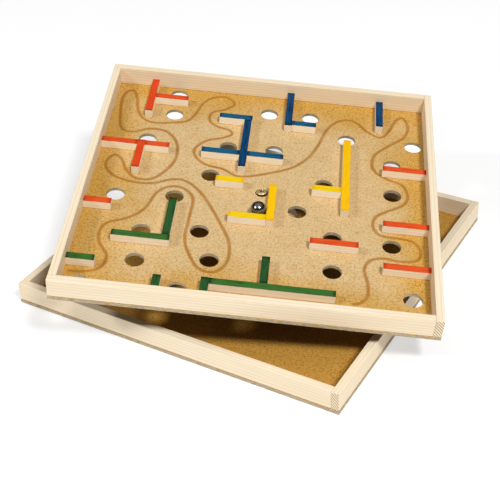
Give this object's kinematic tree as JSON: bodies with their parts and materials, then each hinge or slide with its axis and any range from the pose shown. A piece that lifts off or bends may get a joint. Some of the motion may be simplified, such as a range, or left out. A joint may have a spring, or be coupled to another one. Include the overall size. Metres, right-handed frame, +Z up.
{
  "type": "tilt maze game",
  "caption": "Wooden tilt maze: a framed board with drop holes, painted wall strips and a drawn route turns and tilts on a ball above a catch tray, guiding a steel ball.",
  "frame": {"origin": "centre of the base tray's underside", "axes": "+Z up out of the open trays, -Y out of the base tray's front strip, +X to its right; stored with the maze tray turned 24.4 degrees and tilted 10.1 degrees"},
  "size_m": [0.354, 0.3551, 0.1108],
  "materials": {
    "pine": "raw planed softwood with straight grain",
    "hardboard": "fine speckled fibreboard, smooth face",
    "ball_wood": "turned and sanded",
    "paint_red": "brushed orange-red paint on the top, raw wood sides",
    "paint_blue": "brushed dark blue paint on the top, raw wood sides",
    "paint_yellow": "brushed yellow paint on the top, raw wood sides",
    "paint_green": "brushed green paint on the top, raw wood sides",
    "screw_brass": "bright",
    "washer_steel": "satin",
    "ring_rubber": "matt black",
    "ball_steel": "polished"
  },
  "bodies": {
    "base_tray": {"base_panel": "hardboard", "base_frame_front": "pine", "base_frame_back": "pine", "base_frame_left": "pine", "base_frame_right": "pine", "pivot_ball": "ball_wood", "pivot_screw": "screw_brass"},
    "turn_washer": {"pivot_washer": "washer_steel"},
    "tilt_ring": {"pivot_ring": "ring_rubber"},
    "maze_tray": {"maze_panel": "hardboard", "maze_frame_front": "pine", "maze_frame_back": "pine", "maze_frame_left": "pine", "maze_frame_right": "pine", "wall_red_back_post": "paint_red", "wall_red_back_arm": "paint_red", "wall_red_cross_post": "paint_red", "wall_red_cross_left": "paint_red", "wall_red_cross_right": "paint_red", "wall_red_left_stub": "paint_red", "wall_red_middle_bar": "paint_red", "wall_red_right_back": "paint_red", "wall_red_right_middle": "paint_red", "wall_red_right_front": "paint_red", "wall_blue_top_arm": "paint_blue", "wall_blue_spine": "paint_blue", "wall_blue_cross_left": "paint_blue", "wall_blue_cross_right": "paint_blue", "wall_blue_elbow_post": "paint_blue", "wall_blue_elbow_arm": "paint_blue", "wall_blue_right_post": "paint_blue", "wall_yellow_left_bar": "paint_yellow", "wall_yellow_corner_post": "paint_yellow", "wall_yellow_corner_arm": "paint_yellow", "wall_yellow_mast": "paint_yellow", "wall_yellow_mast_arm": "paint_yellow", "wall_green_left_stub": "paint_green", "wall_green_elbow_foot": "paint_green", "wall_green_elbow_post": "paint_green", "wall_green_front_stub": "paint_green", "wall_green_rail_end": "paint_green", "wall_green_rail": "paint_green", "wall_green_rail_post": "paint_green"},
    "rolling_ball": {"steel_ball": "ball_steel"}
  },
  "joints": [
    {"name": "turn", "type": "hinge", "parent": "base_tray", "child": "turn_washer", "pos_m": [0.003, 0.0021, 0.0611], "axis": [0, 0, 1], "continuous": true},
    {"name": "tilt_front", "type": "hinge", "parent": "turn_washer", "child": "tilt_ring", "pos_m": [0.003, 0.0021, 0.0611], "axis": [0.9107, 0.4131, 0], "range_deg": [-16.7, 0.7]},
    {"name": "tilt_side", "type": "hinge", "parent": "tilt_ring", "child": "maze_tray", "pos_m": [0.003, 0.0021, 0.0611], "axis": [-0.4091, 0.9018, 0.1392], "range_deg": [-14.8, 2.3]},
    {"name": "ball_roll", "type": "slide", "parent": "maze_tray", "child": "rolling_ball", "axis": [-0.8991, -0.4244, 0.1069], "range_m": [0, 0.05]}
  ]
}
